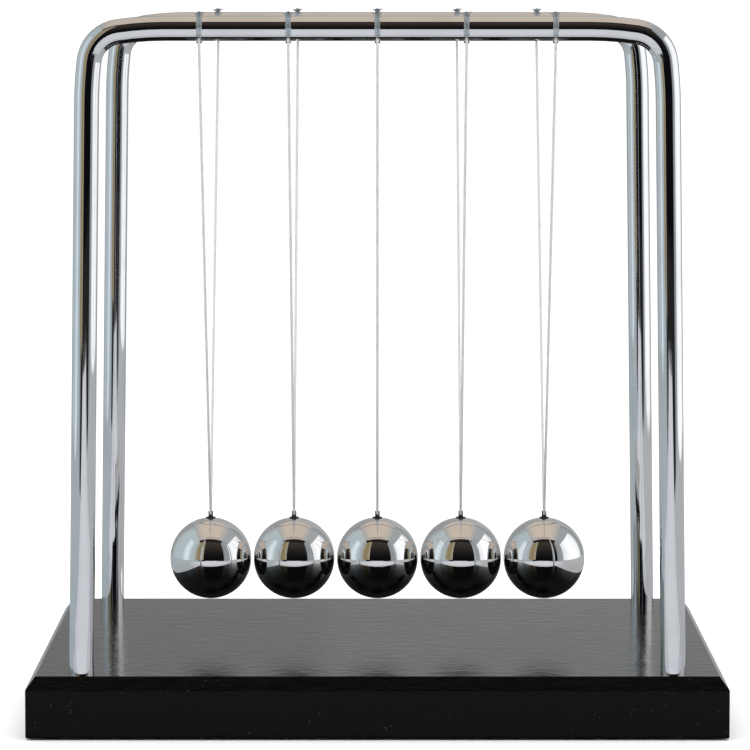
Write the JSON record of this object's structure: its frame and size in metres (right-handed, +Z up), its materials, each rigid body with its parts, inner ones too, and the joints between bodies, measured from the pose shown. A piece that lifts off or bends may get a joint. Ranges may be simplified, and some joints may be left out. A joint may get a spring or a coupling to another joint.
{
  "type": "newton's cradle",
  "caption": "Desk toy: a row of steel balls hung on V lines from two bent tube rails on a lacquered base; the end balls swing outwards in turn.",
  "frame": {"origin": "middle of the footprint, on the surface that the cradle stands on", "axes": "+X to the right along the row of balls, +Y from the front frame to the rear frame, +Z up"},
  "size_m": [0.18, 0.15, 0.1857],
  "materials": {
    "black_lacquer": "semi-gloss black lacquer over fine grain",
    "chrome_tube": "bright chrome plate",
    "chrome_ball": "mirror polished",
    "dark_steel": "blackened",
    "nylon_line": "translucent nylon line",
    "plug_brass": "turned",
    "screw_steel": "zinc plated",
    "foot_foam": "matt foam"
  },
  "bodies": {
    "stand": {"base_block": "black_lacquer", "front_frame": "chrome_tube", "rear_frame": "chrome_tube", "front_left_tube_plug": "plug_brass", "front_left_screw": "screw_steel", "front_left_washer": "screw_steel", "front_left_foot_pad": "foot_foam", "front_right_tube_plug": "plug_brass", "front_right_screw": "screw_steel", "front_right_washer": "screw_steel", "front_right_foot_pad": "foot_foam", "rear_left_tube_plug": "plug_brass", "rear_left_screw": "screw_steel", "rear_left_washer": "screw_steel", "rear_left_foot_pad": "foot_foam", "rear_right_tube_plug": "plug_brass", "rear_right_screw": "screw_steel", "rear_right_washer": "screw_steel", "rear_right_foot_pad": "foot_foam", "front_tie_1": "nylon_line", "rear_tie_1": "nylon_line", "front_tie_2": "nylon_line", "rear_tie_2": "nylon_line", "front_tie_3": "nylon_line", "rear_tie_3": "nylon_line", "front_tie_4": "nylon_line", "rear_tie_4": "nylon_line", "front_tie_5": "nylon_line", "rear_tie_5": "nylon_line"},
    "pendulum_1": {"ball_1": "chrome_ball", "eyelet_1": "dark_steel", "line_1": "nylon_line"},
    "pendulum_2": {"ball_2": "chrome_ball", "eyelet_2": "dark_steel", "line_2": "nylon_line"},
    "pendulum_3": {"ball_3": "chrome_ball", "eyelet_3": "dark_steel", "line_3": "nylon_line"},
    "pendulum_4": {"ball_4": "chrome_ball", "eyelet_4": "dark_steel", "line_4": "nylon_line"},
    "pendulum_5": {"ball_5": "chrome_ball", "eyelet_5": "dark_steel", "line_5": "nylon_line"}
  },
  "joints": [
    {"name": "ball_1_swing", "type": "hinge", "parent": "stand", "child": "pendulum_1", "pos_m": [-0.0452, 0, 0.17875], "axis": [0, 1, 0], "range_deg": [-0.12, 70]},
    {"name": "ball_2_swing", "type": "hinge", "parent": "stand", "child": "pendulum_2", "pos_m": [-0.0226, 0, 0.17875], "axis": [0, 1, 0], "range_deg": [-0.12, 0.12]},
    {"name": "ball_3_swing", "type": "hinge", "parent": "stand", "child": "pendulum_3", "pos_m": [0, 0, 0.17875], "axis": [0, 1, 0], "range_deg": [-0.12, 0.12]},
    {"name": "ball_4_swing", "type": "hinge", "parent": "stand", "child": "pendulum_4", "pos_m": [0.0226, 0, 0.17875], "axis": [0, 1, 0], "range_deg": [-0.12, 0.12]},
    {"name": "ball_5_swing", "type": "hinge", "parent": "stand", "child": "pendulum_5", "pos_m": [0.0452, 0, 0.17875], "axis": [0, -1, 0], "range_deg": [-0.12, 70]}
  ]
}
